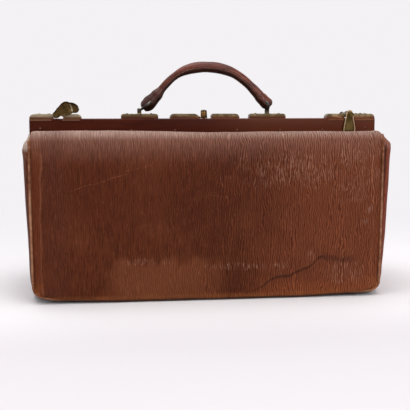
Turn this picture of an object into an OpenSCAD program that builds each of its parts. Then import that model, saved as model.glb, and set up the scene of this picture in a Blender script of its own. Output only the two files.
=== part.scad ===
// Gladstone bag: stiff leather body, two hinged steel frames, brass fittings and a rolled handle
// Millimetres, +Z up, origin on the ground under the middle of the bag, front face toward -Y

/* [Body] */
// How far the panels' side edges lie inside the ends of the rails
panel_in = 8; // [6:0.5:9]
// Height of the panels' top edge
panel_top = 232; // [230:0.5:232]
// Distance of the outer faces from the middle plane
body_half_d = 115; // [113:0.5:118]
// Thickness of a stiffened leather wall
wall_t = 4; // [3:0.5:4]
// Radius of the panels' bottom corners
bottom_corner_r = 16; // [8:1:24]
// Radius of the panels' top corners
top_corner_r = 9; // [4:1:14]

/* [Frame] */
// Length of each frame rail
rail_l = 508; // [500:1:508]
// Top of the frame rails
rail_top = 250; // [250:0.5:252]
// Height of the frame rails
rail_h = 26; // [24:0.5:26]
// Height of the hinge pins
pin_z = 170; // [168:0.5:172]
// Radius of the hinge pins
pin_r = 3; // [2.5:0.1:3.5]

/* [Handle] */
// Height of the swing axis above the rails
handle_axis_up = 11.5; // [11:0.1:12]
// Bend radius of the grip's middle line
grip_bend_r = 86.6; // [84:0.2:88]
// Radius of the grip
grip_r = 7.4; // [6.5:0.1:7.6]

/* [Catches] */
// Distance of each catch spindle from the end of the rail
catch_in = 36.5; // [36:0.5:38]
// Height of the catch spindles above the rails
catch_up = 6; // [6:0.1:6.4]
// Turn of the left leaf in the stored pose
left_leaf_turn = 115; // [110:1:117]

/* [Lock] */
// Radius of the sliding knob
knob_r = 4.7; // [4.2:0.1:4.8]

/* [Hidden] */
$fn = 64;
run = 0.05;
part_gap = 0.4;
rail_half = rail_l / 2;
panel_half_w = rail_half - panel_in;
catch_x = rail_half - catch_in;
rail_d = 21.4;
rail_in = part_gap;
rail_mid = rail_in + rail_d / 2;
rail_out = rail_in + rail_d;
cover_t = 1.8;
steel_t = 2;
rail_z0 = rail_top - rail_h;
steel_l = rail_l - 2 * cover_t;
leg_t = 3;
front_leg_x = rail_half - 8;
rear_leg_x = front_leg_x - leg_t - part_gap;
leg_y0 = 7;
leg_y1 = 15;
leg_eye_r = 8;
plate_h = 7;
plate_y0 = 2;
plate_y1 = 20;
plate_top = rail_top + plate_h;
base_t = 3;
board_t = 3;
panel_z0 = 3.2;
welt_w = 3;
side_x = panel_half_w + 7.3;
side_rise = 3.3;
side_foot = 12;
side_t = 3;
side_lean = 6.3;
rivet_end = side_x + 3.2;
rivet_foot_r = 5;
gusset_half_d = body_half_d - 6.5;
gusset_split = panel_top - 27;
welt_top = panel_top - 10;
handle_z = rail_top + handle_axis_up;
grip_end_deg = 50;
grip_centre_z = handle_z - 21.5;
core_r = 4.5;
lug_x = 96.7;
loop_r = 2.2;
grip_tail = 22;
catch_z = rail_top + catch_up;
leaf_y0 = -26.5;
leaf_t = 2.3;
spindle_r = 2.5;
lock_z = rail_top - 12;
lock_y = 11;
bolt_r = 2.2;
striker_x = 8;
striker_t = 2;

leather = [0.36, 0.19, 0.12];
rail_leather = [0.27, 0.11, 0.07];
brass = [0.55, 0.48, 0.3];
steel = [0.4, 0.4, 0.42];
cloth = [0.55, 0.45, 0.33];
board = [0.5, 0.4, 0.28];

// Box given by its low and high corners
module span(lo, hi) {
    translate(lo) cube(hi - lo);
}

// Outline in X and Z drawn as a solid from y0 to y1
module slab(y0, y1) {
    translate([0, y1, 0]) rotate([90, 0, 0]) linear_extrude(y1 - y0) children();
}

// Outline in Y and Z drawn as a solid from x0 to x1
module side_slab(x0, x1) {
    translate([x0, 0, 0]) rotate([90, 0, 90]) linear_extrude(x1 - x0) children();
}

// Rounded upright outline with one radius at the bottom and one at the top
module upright(half_w, z0, z1, rb, rt) {
    for (s = [-1, 1]) {
        translate([s * (half_w - rb), z0 + rb]) circle(rb);
        translate([s * (half_w - rt), z1 - rt]) circle(rt);
    }
    translate([-half_w, z0 + rb]) square([2 * half_w, z1 - rt - z0 - rb]);
    translate([rb - half_w, z0]) square([2 * (half_w - rb), z1 - rt - z0]);
    translate([rt - half_w, z0 + rb]) square([2 * (half_w - rt), z1 - z0 - rb]);
}

// Same piece on the other side of the middle plane
module rear_side() {
    mirror([0, 1, 0]) children();
}

module left_side() {
    mirror([1, 0, 0]) children();
}

module both_ends() {
    children();
    left_side() children();
}

// Body
module base_panel() {
    base_half_w = panel_half_w + 2;
    color(leather) span([-base_half_w, -gusset_half_d, 0], [base_half_w, gusset_half_d, base_t]);
}

module base_board() {
    board_half_w = panel_half_w - 3;
    board_half_d = gusset_half_d - 2.5;
    color(board) span([-board_half_w, -board_half_d, base_t],
        [board_half_w, board_half_d, base_t + board_t]);
}

module panel_shape() {
    slab(-body_half_d, wall_t - body_half_d)
        upright(panel_half_w, panel_z0, panel_top, bottom_corner_r, top_corner_r);
}

module front_panel() {
    color(leather) panel_shape();
}

module rear_panel() {
    color(leather) rear_side() panel_shape();
}

// End wall that leans outward, with a blind hole for the foot of the hinge rivet
module gusset_shape() {
    foot_in = 2.3;
    difference() {
        slab(-gusset_half_d, gusset_half_d)
            polygon([[side_x - foot_in - side_t + 0.6, side_rise], [side_x - foot_in, side_rise],
                [side_x - 1, side_foot], [side_x + side_lean, gusset_split],
                [side_x + side_lean - side_t, gusset_split], [side_x - side_t - 1, side_foot]]);
        translate([side_x - 0.3, 0, pin_z]) rotate([0, 90, 0])
            cylinder(h = rivet_end - side_x + 0.4, r = rivet_foot_r);
    }
}

module left_gusset() {
    color(leather) left_side() gusset_shape();
}

module right_gusset() {
    color(leather) gusset_shape();
}

module welt_shape() {
    slab(-body_half_d - 0.5, 6 - body_half_d)
        intersection() {
            difference() {
                upright(panel_half_w + welt_w, panel_z0 - welt_w, panel_top + welt_w,
                    bottom_corner_r + welt_w, top_corner_r + welt_w);
                upright(panel_half_w, panel_z0, panel_top + 2 * welt_w,
                    bottom_corner_r, top_corner_r);
            }
            translate([-rail_l, 0]) square([2 * rail_l, welt_top]);
        }
}

module front_welt() {
    color(leather) welt_shape();
}

module rear_welt() {
    color(leather) rear_side() welt_shape();
}

module lining() {
    cloth_t = 1.2;
    out_x = panel_half_w - 0.6;
    sheet_half = panel_half_w - 6;
    out_y = gusset_half_d - 0.2;
    floor_z = base_t + board_t + 0.1;
    side_top = pin_z - 14;
    color(cloth) {
        difference() {
            span([-out_x, -out_y, floor_z], [out_x, out_y, side_top]);
            span([cloth_t - out_x, cloth_t - out_y, floor_z + cloth_t],
                [out_x - cloth_t, out_y - cloth_t, side_top + 1]);
        }
        for (s = [-1, 1])
            translate([-sheet_half, s > 0 ? out_y - cloth_t : -out_y, side_top])
                cube([2 * sheet_half, cloth_t, welt_top - side_top]);
    }
}

// Pin through both legs, with a head inside, a washer outside and a foot in the gusset
module hinge_rivet_shape() {
    pin_x0 = rear_leg_x - part_gap;
    pin_x1 = front_leg_x + leg_t + 0.6;
    head_t = 1.6;
    washer_t = 2;
    translate([0, 0, pin_z]) rotate([0, 90, 0]) {
        translate([0, 0, pin_x0 - head_t]) cylinder(h = head_t, r = 2 * pin_r);
        translate([0, 0, pin_x0]) cylinder(h = pin_x1 - pin_x0, r = pin_r);
        translate([0, 0, pin_x1]) cylinder(h = washer_t, r = 11);
        translate([0, 0, pin_x1 + washer_t])
            cylinder(h = rivet_end - pin_x1 - washer_t, r = rivet_foot_r);
    }
}

module left_hinge_rivet() {
    color(steel) left_side() hinge_rivet_shape();
}

module right_hinge_rivet() {
    color(steel) hinge_rivet_shape();
}

// Soft leather between the frame rail and the panel's top edge
module shoulder_shape() {
    lip_y = -rail_out - part_gap;
    lip_t = 1.6;
    lip_top = rail_z0 + 6;
    low = rail_z0 - 6.6;
    crest_y = 15 - body_half_d;
    slope_y = 40 - body_half_d;
    half_w = panel_half_w - 2;
    side_slab(-half_w, half_w)
        polygon([[lip_y, lip_top], [lip_y - lip_t, lip_top], [lip_y - lip_t, low + 2.4],
            [lip_y - 5.8, low + 2.4], [lip_y - 19.8, panel_top - 4],
            [slope_y, panel_top + 1.6], [crest_y, panel_top + 3.4],
            [crest_y - 10, panel_top + 2.8], [crest_y - 14.5, panel_top + 0.3],
            [crest_y - 11.5, panel_top + 0.3], [crest_y - 9, panel_top + 0.8],
            [crest_y, panel_top + 1.2], [slope_y, panel_top - 0.6],
            [lip_y - 19.8, panel_top - 6.2], [lip_y - 6.8, low], [lip_y, low]]);
}

module front_shoulder() {
    color(leather) shoulder_shape();
}

module rear_shoulder() {
    color(leather) rear_side() shoulder_shape();
}

// Soft fold that closes the top of a gusset against the end of a rail
module fold_shape() {
    fold_x = side_x + side_lean;
    fold_z = gusset_split + part_gap;
    slab(-gusset_half_d, -part_gap)
        polygon([[fold_x - side_t, fold_z], [fold_x, fold_z], [fold_x + 0.4, fold_z + 5.6],
            [fold_x - 0.8, fold_z + 18.6], [fold_x - 3.8, fold_z + 28.6],
            [fold_x - 5.1, fold_z + 28.6], [fold_x - 5.1, fold_z + 20.6],
            [fold_x - 2.4, fold_z + 5.6]]);
}

module left_front_fold() {
    color(leather) left_side() fold_shape();
}

module left_rear_fold() {
    color(leather) left_side() rear_side() fold_shape();
}

module right_front_fold() {
    color(leather) fold_shape();
}

module right_rear_fold() {
    color(leather) rear_side() fold_shape();
}

// Steel channel of a frame, drawn for the rear side
module rail_shape() {
    y0 = rail_in + cover_t;
    y1 = rail_out - cover_t;
    z1 = rail_top - cover_t;
    difference() {
        span([-steel_l / 2, y0, rail_z0 + cover_t], [steel_l / 2, y1, z1]);
        span([-steel_l / 2 - 1, y0 + steel_t, rail_z0],
            [steel_l / 2 + 1, y1 - steel_t, z1 - steel_t]);
    }
}

// Leather sleeve of a frame with the slots of its legs
module cover_shape(leg_x) {
    difference() {
        span([-rail_half, rail_in, rail_z0], [rail_half, rail_out, rail_top]);
        span([-steel_l / 2, rail_in + cover_t, rail_z0 + cover_t],
            [steel_l / 2, rail_out - cover_t, rail_top - cover_t]);
        both_ends()
            span([leg_x, leg_y0, rail_z0 - 1], [leg_x + leg_t, leg_y1, rail_z0 + cover_t + 1]);
    }
}

// Flat bar from the rail down to its eye on the hinge pin
module leg_shape(leg_x) {
    difference() {
        union() {
            side_slab(leg_x, leg_x + leg_t)
                polygon([[leg_y0, rail_top - cover_t - steel_t],
                    [leg_y0, rail_z0 - 2], [-leg_eye_r + 1, pin_z + 2],
                    [leg_eye_r - 1, pin_z + 2], [leg_y1, rail_z0 - 2],
                    [leg_y1, rail_top - cover_t - steel_t]]);
            translate([leg_x, 0, pin_z]) rotate([0, 90, 0]) cylinder(h = leg_t, r = leg_eye_r);
        }
        translate([leg_x - 1, 0, pin_z]) rotate([0, 90, 0])
            cylinder(h = leg_t + 2, r = pin_r + run);
    }
}

module striker_slot(y0, y1) {
    span([striker_x - 1, y0, lock_z - 6.5], [striker_x + striker_t + 1, y1, lock_z + 8]);
}

module front_rail() {
    color(steel) rear_side() difference() {
        rail_shape();
        striker_slot(0, rail_in + cover_t + steel_t);
    }
}

module front_rail_cover() {
    color(rail_leather) rear_side() difference() {
        cover_shape(front_leg_x);
        striker_slot(0, rail_in + cover_t);
    }
}

module front_left_leg() {
    color(steel) left_side() rear_side() leg_shape(front_leg_x);
}

module front_right_leg() {
    color(steel) rear_side() leg_shape(front_leg_x);
}

module knob_slot(z0, z1) {
    span([-2.4, lock_y - 2.4, z0], [6.4, lock_y + 2.4, z1]);
}

module rear_rail() {
    color(steel) difference() {
        rail_shape();
        striker_slot(0, rail_in + cover_t + steel_t);
        knob_slot(rail_top - 5, rail_top);
    }
}

module rear_rail_cover() {
    color(rail_leather) difference() {
        cover_shape(rear_leg_x);
        striker_slot(0, rail_in + cover_t);
        knob_slot(rail_top - 3, rail_top + 1);
    }
}

module rear_left_leg() {
    color(steel) left_side() leg_shape(rear_leg_x);
}

module rear_right_leg() {
    color(steel) leg_shape(rear_leg_x);
}

// Brass plate along the rail with round upper corners
module plate(x0, x1, r0, r1) {
    slab(plate_y0, plate_y1) {
        translate([x0 + r0, rail_top]) square([x1 - x0 - r0 - r1, plate_h]);
        translate([x0, rail_top]) square([x1 - x0, plate_h - max(r0, r1)]);
        intersection() {
            translate([x0 + r0, plate_top - r0]) circle(r0);
            translate([x0, rail_top]) square([x1 - x0, plate_h]);
        }
        intersection() {
            translate([x1 - r1, plate_top - r1]) circle(r1);
            translate([x0, rail_top]) square([x1 - x0, plate_h]);
        }
    }
}

module front_corner_plates() {
    boss_r = 5;
    color(brass) both_ends() rear_side() difference() {
        union() {
            plate(catch_x + boss_r - 1.6, rail_half, 1, 6);
            translate([catch_x, plate_y1, catch_z]) rotate([90, 0, 0])
                cylinder(h = plate_y1 - plate_y0, r = boss_r);
        }
        translate([catch_x, plate_y1 + 1, catch_z]) rotate([90, 0, 0])
            cylinder(h = plate_y1, r = spindle_r + run);
    }
}

module front_nose_plates() {
    nose_out = catch_x - 8;
    nose_l = 28;
    color(brass) both_ends() rear_side() plate(nose_out - nose_l, nose_out, 6.5, 2);
}

module rear_corner_plates() {
    color(brass) both_ends() plate(catch_x + 6.5, rail_half, 1, 6);
}

module rivet_dome() {
    rivet_r = 2;
    intersection() {
        translate([0, 0, -rivet_r]) sphere(r = rivet_r + 1);
        cylinder(h = 2, r = rivet_r);
    }
}

module corner_rivets() {
    for (x = [rail_half - 25, rail_half - 11])
        translate([x, rail_mid, plate_top]) rivet_dome();
}

module front_plate_rivets() {
    color(brass) both_ends() rear_side() corner_rivets();
}

module rear_plate_rivets() {
    color(brass) both_ends() {
        corner_rivets();
        for (x = [-17.7, 18.3]) translate([lug_x + x, rail_mid, plate_top]) rivet_dome();
    }
}

// Domed tack heads along the outer face of a rail, drawn for the rear side
module tack_row() {
    end_tack = rail_half - 14;
    for (side = [-1, 1]) {
        for (x = [0.181, 0.433, 0.689])
            translate([side * x * rail_half, rail_out, rail_z0 + 9.2]) tack();
        translate([side * end_tack, rail_out, rail_z0 + 12.6]) tack();
    }
}

module tack() {
    rotate([-90, 0, 0]) scale(0.8) rivet_dome();
}

module front_tacks() {
    color(brass) rear_side() tack_row();
}

module rear_tacks() {
    color(brass) tack_row();
}

module lug_shape() {
    lug_half = 3;
    lug_r = 3.6;
    difference() {
        side_slab(lug_x - lug_half, lug_x + lug_half) {
            translate([rail_mid - lug_r, plate_top - 1])
                square([2 * lug_r, handle_z - plate_top + 1]);
            translate([rail_mid, handle_z]) circle(lug_r);
        }
        translate([lug_x - lug_half - 1, rail_mid, handle_z]) rotate([0, 90, 0])
            cylinder(h = 2 * lug_half + 2, r = loop_r + run);
    }
}

module handle_plates() {
    color(brass) both_ends() union() {
        plate(lug_x - 27.7, lug_x + 27.3, 4, 4);
        lug_shape();
    }
}

module lock_plates() {
    color(brass) {
        plate(-51, -knob_r - 0.7, 6, 3);
        plate(knob_r + 4.5, 53, 3, 6);
    }
}

// Striker of the lock, fixed in the front rail
module lock_striker() {
    foot_y = -rail_in - cover_t - steel_t;
    color(steel) difference() {
        union() {
            span([striker_x, foot_y - 1, lock_z - 5],
                [striker_x + striker_t, lock_y + 4, lock_z + 5]);
            span([striker_x - 6, foot_y - 2, lock_z - 5],
                [striker_x + striker_t + 6, foot_y, lock_z + 5]);
        }
        translate([striker_x - 1, lock_y, lock_z]) rotate([0, 90, 0])
            cylinder(h = striker_t + 2, r = bolt_r + 0.6);
    }
}

module lock_case() {
    y0 = rail_in + cover_t + steel_t;
    y1 = rail_out - cover_t - steel_t;
    z0 = lock_z - 7;
    z1 = rail_top - cover_t - steel_t;
    color(steel) difference() {
        span([-18, y0, z0], [18, y1, z1]);
        span([-16.5, y0 + 1.2, z0 + 1.2], [16.5, y1 - 1.2, z1 - 1.2]);
        striker_slot(y0 - 1, y0 + 2);
        knob_slot(z1 - 3, z1 + 1);
        translate([-19, lock_y, lock_z]) rotate([0, 90, 0])
            cylinder(h = 4, r = bolt_r + run);
    }
}

module lock_knob() {
    knob_top = rail_top + 14;
    color(brass) {
        translate([0, lock_y, rail_top + 0.5]) cylinder(h = 13.5, r = knob_r);
        intersection() {
            translate([0, lock_y, knob_top - 5.7]) sphere(r = 7.4);
            translate([0, lock_y, knob_top]) cylinder(h = 3, r = knob_r);
        }
        translate([0, lock_y, lock_z]) cylinder(h = rail_top + 0.5 - lock_z, r = 1.6);
    }
}

module lock_bolt() {
    color(steel) difference() {
        translate([-22, lock_y, lock_z]) rotate([0, 90, 0]) cylinder(h = 29.5, r = bolt_r);
        translate([0, lock_y, lock_z]) cylinder(h = 5, r = 1.6);
    }
}

// Curved middle of the handle and its two straight tails, as a rod of radius r
module grip_rod(r, tail) {
    translate([0, rail_mid, grip_centre_z]) rotate([90, 0, 0]) {
        rotate([0, 0, 90 - grip_end_deg]) rotate_extrude(angle = 2 * grip_end_deg)
            translate([grip_bend_r, 0]) circle(r);
        for (s = [-1, 1]) rotate([0, 0, 90 + s * grip_end_deg])
            translate([grip_bend_r, 0, 0]) rotate([-s * 90, 0, 0]) cylinder(h = tail, r = r);
    }
}

// Places children at a tail's start, +Z along the tail toward the foot
module at_tail() {
    translate([0, rail_mid, grip_centre_z]) rotate([90, 0, 0])
        rotate([0, 0, 90 - grip_end_deg]) translate([grip_bend_r, 0, 0])
            rotate([90, 0, 0]) children();
}

module handle_core() {
    color(cloth) grip_rod(core_r, grip_tail);
}

module handle_grip() {
    color(leather) difference() {
        grip_rod(grip_r, grip_tail);
        grip_rod(core_r, grip_tail);
    }
}

module handle_ends() {
    end_r = 8.6;
    color(leather) both_ends() difference() {
        at_tail() difference() {
            union() {
                translate([0, 0, 8]) cylinder(h = grip_tail - 2, r = end_r);
                translate([0, 0, grip_tail + 6]) sphere(r = end_r);
            }
            translate([0, 0, 7]) cylinder(h = grip_tail - 7, r = grip_r);
        }
        loop_shape();
    }
}

// Bent loop whose foot turns in the lug of a handle plate
module loop_shape() {
    bend_x = lug_x - 5.4;
    translate([bend_x, rail_mid, handle_z]) {
        rotate([0, 90, 0]) cylinder(h = 11, r = loop_r);
        translate([9, 0, 0]) rotate([0, 90, 0]) cylinder(h = 2, r = 3.4);
        sphere(r = loop_r);
        rotate([0, -22, 0]) cylinder(h = 16, r = loop_r);
    }
}

module left_handle_loop() {
    color(steel) left_side() loop_shape();
}

module right_handle_loop() {
    color(steel) loop_shape();
}

// Leaf that hangs from the spindle, drawn about the origin
module leaf_shape() {
    head_r = 5.2;
    tip_r = 8.7;
    tip_down = 26;
    waist = 0.6;
    translate([0, leaf_y0 + leaf_t, 0]) rotate([90, 0, 0]) difference() {
        union() {
            cylinder(h = leaf_t, r = head_r);
            translate([0, -tip_down, 0]) cylinder(h = leaf_t, r = tip_r);
            linear_extrude(leaf_t)
                polygon([[waist - head_r, -1], [head_r - waist, -1],
                    [tip_r - waist, 1.5 - tip_down], [waist - tip_r, 1.5 - tip_down]]);
        }
        translate([0, 0, -1]) cylinder(h = leaf_t + 2, r = spindle_r);
    }
}

// Spindle with its front head and the rear tab that hooks behind the rear rail
module spindle_shape() {
    tab_y = rail_out + 0.8;
    tab_t = 2.4;
    tab_l = 9.5;
    tab_half = 1.5;
    translate([0, tab_y + tab_t, 0]) rotate([90, 0, 0])
        cylinder(h = tab_y + tab_t - leaf_y0, r = spindle_r);
    translate([0, leaf_y0, 0]) rotate([90, 0, 0]) cylinder(h = 1.1, r = 3.4);
    slab(tab_y, tab_y + tab_t) {
        circle(3.6);
        rotate(25) translate([-tab_l, -tab_half]) square([tab_l, 2 * tab_half]);
    }
}

module right_catch_leaf() {
    color(brass) translate([catch_x, 0, catch_z]) leaf_shape();
}

module right_catch_spindle() {
    color(brass) translate([catch_x, 0, catch_z]) spindle_shape();
}

module left_catch_leaf() {
    color(brass) left_side() translate([catch_x, 0, catch_z])
        rotate([0, left_leaf_turn, 0]) leaf_shape();
}

module left_catch_spindle() {
    color(brass) left_side() translate([catch_x, 0, catch_z])
        rotate([0, left_leaf_turn, 0]) spindle_shape();
}

base_panel();
base_board();
front_panel();
rear_panel();
left_gusset();
right_gusset();
front_welt();
rear_welt();
lining();
left_hinge_rivet();
right_hinge_rivet();
front_shoulder();
rear_shoulder();
left_front_fold();
left_rear_fold();
right_front_fold();
right_rear_fold();
front_rail();
front_left_leg();
front_right_leg();
front_rail_cover();
front_corner_plates();
front_nose_plates();
front_plate_rivets();
front_tacks();
lock_striker();
rear_rail();
rear_left_leg();
rear_right_leg();
rear_rail_cover();
rear_corner_plates();
handle_plates();
lock_plates();
rear_plate_rivets();
rear_tacks();
lock_case();
handle_core();
handle_grip();
handle_ends();
left_handle_loop();
right_handle_loop();
left_catch_leaf();
left_catch_spindle();
right_catch_leaf();
right_catch_spindle();
lock_knob();
lock_bolt();
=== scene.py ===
import math
import bpy
import bmesh
from mathutils import Matrix, Vector, noise


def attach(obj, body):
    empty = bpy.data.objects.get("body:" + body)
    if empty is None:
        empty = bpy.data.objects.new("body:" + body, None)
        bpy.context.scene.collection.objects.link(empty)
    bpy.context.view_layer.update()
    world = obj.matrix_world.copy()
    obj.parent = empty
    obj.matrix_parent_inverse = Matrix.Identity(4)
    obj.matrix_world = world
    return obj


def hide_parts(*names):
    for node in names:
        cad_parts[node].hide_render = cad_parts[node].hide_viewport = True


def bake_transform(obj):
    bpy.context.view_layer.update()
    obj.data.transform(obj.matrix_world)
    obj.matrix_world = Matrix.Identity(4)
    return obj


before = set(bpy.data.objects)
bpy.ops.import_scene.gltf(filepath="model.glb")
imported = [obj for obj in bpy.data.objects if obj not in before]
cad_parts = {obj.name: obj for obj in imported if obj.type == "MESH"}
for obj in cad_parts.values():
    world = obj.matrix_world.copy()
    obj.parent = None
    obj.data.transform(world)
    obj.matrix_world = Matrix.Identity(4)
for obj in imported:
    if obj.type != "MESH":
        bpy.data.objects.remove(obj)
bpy.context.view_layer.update()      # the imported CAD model: bodies, nodes, joints and record
mm = 0.001


def clamp(v, lo=0.0, hi=1.0):
    return max(lo, min(hi, v))


def smooth(v, lo, hi):
    t = clamp((v - lo) / (hi - lo))
    return t * t * (3 - 2 * t)


def mix(a, b, t):
    return a + (b - a) * t


def hump(v, width):
    return math.exp(-(v / width) ** 2)


def alongPoints(points, t):
    # smooth point at t of the way along a list of points
    spans = [math.dist(a, b) for a, b in zip(points, points[1:])]
    left = clamp(t) * sum(spans)
    i = 0
    while i < len(spans) - 1 and left > spans[i]:
        left -= spans[i]
        i += 1
    k = clamp(left / max(spans[i], 1e-9))
    p0, p1, p2, p3 = (points[clamp(j, 0, len(points) - 1)] for j in (i - 1, i, i + 1, i + 2))
    return tuple(0.5 * (2 * b + (c - a) * k + (2 * a - 5 * b + 4 * c - d) * k * k
                        + (3 * b - a - 3 * c + d) * k ** 3) for a, b, c, d in zip(p0, p1, p2, p3))


def placed(name, data):
    obj = bpy.data.objects.new(name, data)
    bpy.context.scene.collection.objects.link(obj)
    return obj


def meshObject(name, bm, material):
    mesh = bpy.data.meshes.new(name)
    bm.to_mesh(mesh)
    bm.free()
    mesh.materials.append(material)
    return placed(name, mesh)


def newPiece(name, bm, material, body, replaces=()):
    obj = meshObject(name, bm, material)
    mesh = obj.data
    mesh.polygons.foreach_set("use_smooth", [True] * len(mesh.polygons))
    mesh.set_sharp_from_angle(angle=math.radians(50))
    if body:
        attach(obj, body)
    if replaces:
        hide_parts(*replaces)
    return obj


def gridSheet(across, along, place):
    bm = bmesh.new()
    bmesh.ops.create_grid(bm, x_segments=across, y_segments=along, size=0.5)
    for v in bm.verts:
        v.co = place(v.co.x + 0.5, v.co.y + 0.5)
    return bm


def thicken(bm, t, outward):
    # closes a sheet into a thin wall, with its seen side where it was
    bmesh.ops.remove_doubles(bm, verts=bm.verts, dist=1e-6)
    bm.normal_update()
    if sum(f.normal.dot(Vector(outward)) for f in bm.faces) < 0:
        bmesh.ops.reverse_faces(bm, faces=bm.faces)
    bm.normal_update()
    inward = bm.verts.layers.float_vector.new("inward")
    for v in bm.verts:
        v[inward] = -v.normal * t
    seen = set(bm.verts)
    bmesh.ops.extrude_face_region(bm, geom=bm.faces[:], use_keep_orig=True)
    for v in bm.verts:
        if v not in seen:
            v.co += v[inward]
    bm.verts.layers.float_vector.remove(inward)
    bmesh.ops.recalc_face_normals(bm, faces=bm.faces)


def extruded(bm, edges):
    made = bmesh.ops.extrude_edge_only(bm, edges=edges)
    return [v for v in made["geom"] if isinstance(v, bmesh.types.BMVert)]


def rod(path, radius, sides=24, closed=False, up=(0, 1, 0)):
    # round rod along a path; radius may be a function of 0..1, up never points along the path
    r = radius if callable(radius) else (lambda t: radius)
    bm = bmesh.new()
    pts = [Vector(p) for p in path]
    n = len(pts)
    up = Vector(up)

    def spot(j):
        return pts[j % n if closed else clamp(j, 0, n - 1)]
    ring = None
    for i, p in enumerate(pts):
        d = (spot(i + 1) - spot(i - 1)).normalized()
        side = d.cross(up).normalized()
        turn = Matrix((side, (up - d * up.dot(d)).normalized(), d)).transposed().to_4x4()
        move = Matrix.Translation(p) @ turn @ Matrix.Scale(r(i / (n - 1)), 4)
        if ring is None:
            ring = bmesh.ops.create_circle(bm, segments=sides, radius=1, cap_ends=False)["verts"]
            base = [v.co.copy() for v in ring]
        else:
            edges = [e for e in bm.edges if e.verts[0] in last and e.verts[1] in last]
            fresh = extruded(bm, edges)
            ring = [next(o for e in v.link_edges for o in [e.other_vert(v)] if o in fresh)
                    for v in ring]
        for v, b in zip(ring, base):
            v.co = move @ b
        last = set(ring)
    ends = [e for e in bm.edges if len(e.link_faces) == 1]
    if closed:
        bmesh.ops.bridge_loops(bm, edges=ends)
    else:
        bmesh.ops.holes_fill(bm, edges=ends, sides=0)
    bmesh.ops.recalc_face_normals(bm, faces=bm.faces)
    return bm


def cadCopy(node, width, segments=3):
    # merged copy of a CAD node with its sharp edges rounded
    bm = bmesh.new()
    bm.from_mesh(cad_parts[node].data)
    bmesh.ops.remove_doubles(bm, verts=bm.verts, dist=2e-6)
    bmesh.ops.dissolve_limit(bm, angle_limit=math.radians(0.6), verts=bm.verts, edges=bm.edges)
    sharp = [e for e in bm.edges if len(e.link_faces) == 2
             and e.calc_face_angle(0) > math.radians(35)]
    bmesh.ops.bevel(bm, geom=sharp, offset=width, offset_type="OFFSET", segments=segments,
                    profile=0.5, affect="EDGES", clamp_overlap=True, material=-1)
    bmesh.ops.triangulate(bm, faces=[f for f in bm.faces if len(f.verts) > 4])
    bmesh.ops.recalc_face_normals(bm, faces=bm.faces)
    return bm


def cutAcross(bm, places):
    # cuts square to X, at places in mm, so that the shape can bend there
    for x in places:
        bmesh.ops.bisect_plane(bm, geom=bm.verts[:] + bm.edges[:] + bm.faces[:],
                               plane_co=(x * mm, 0, 0), plane_no=(1, 0, 0))


def lengthen(bm, by, start):
    # moves both ends outwards, all that lies past X = start
    for v in bm.verts:
        v.co.x += math.copysign(by * smooth(abs(v.co.x), start, 0.252), v.co.x)


def addBox(bm, centre, size):
    box = bmesh.ops.create_cube(bm, size=1)["verts"]
    bmesh.ops.transform(bm, matrix=Matrix.Translation(centre) @ Matrix.Diagonal((*size, 1)), verts=box)


# materials

def tint(color):
    # screen colour 0..255 to the linear value that a shader takes
    if isinstance(color, bpy.types.NodeSocket) or len(color) == 4:
        return color
    lin = [((c / 255 + 0.055) / 1.055) ** 2.4 if c > 10 else c / 255 / 12.92 for c in color]
    return (*lin, 1.0)


class Nodes:
    # short way to join nodes
    def __init__(self, tree):
        self.tree = tree

    def give(self, socket, value):
        if isinstance(value, bpy.types.NodeSocket):
            self.tree.links.new(value, socket)
        elif value is not None:
            socket.default_value = value

    def add(self, kind, *inputs, **props):
        # node with its sockets in order
        node = self.tree.nodes.new(kind)
        for key, value in props.items():
            setattr(node, key, value)
        for socket, value in zip(node.inputs, inputs):
            self.give(socket, value)
        return node

    def named(self, kind, sockets, **props):
        # node with its sockets by name
        node = self.add(kind, **props)
        for name, value in sockets.items():
            self.give(node.inputs[name], value)
        return node

    def maths(self, operation, a, b=None):
        return self.add("ShaderNodeMath", a, b, operation=operation).outputs[0]

    def chain(self, operation, first, *others):
        for other in others:
            first = self.maths(operation, first, other)
        return first

    def times(self, *values):
        return self.chain("MULTIPLY", *values)

    def plus(self, *values):
        return self.chain("ADD", *values)

    def apart(self, a, b):
        return self.maths("ABSOLUTE", self.maths("SUBTRACT", a, b))

    def squares(self, a, b):
        return self.plus(self.times(a, a), self.times(b, b))

    def ramp(self, value, lo, hi, out0=0.0, out1=1.0, soft=True):
        sockets = {"Value": value, "From Min": lo, "From Max": hi, "To Min": out0, "To Max": out1}
        kind = "SMOOTHSTEP" if soft else "LINEAR"
        return self.named("ShaderNodeMapRange", sockets, interpolation_type=kind).outputs[0]

    def blend(self, factor, a, b, how="MIX"):
        node = self.add("ShaderNodeMix", data_type="RGBA", blend_type=how)
        for socket, value in ((0, factor), (6, tint(a)), (7, tint(b))):
            self.give(node.inputs[socket], value)
        return node.outputs[2]


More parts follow.
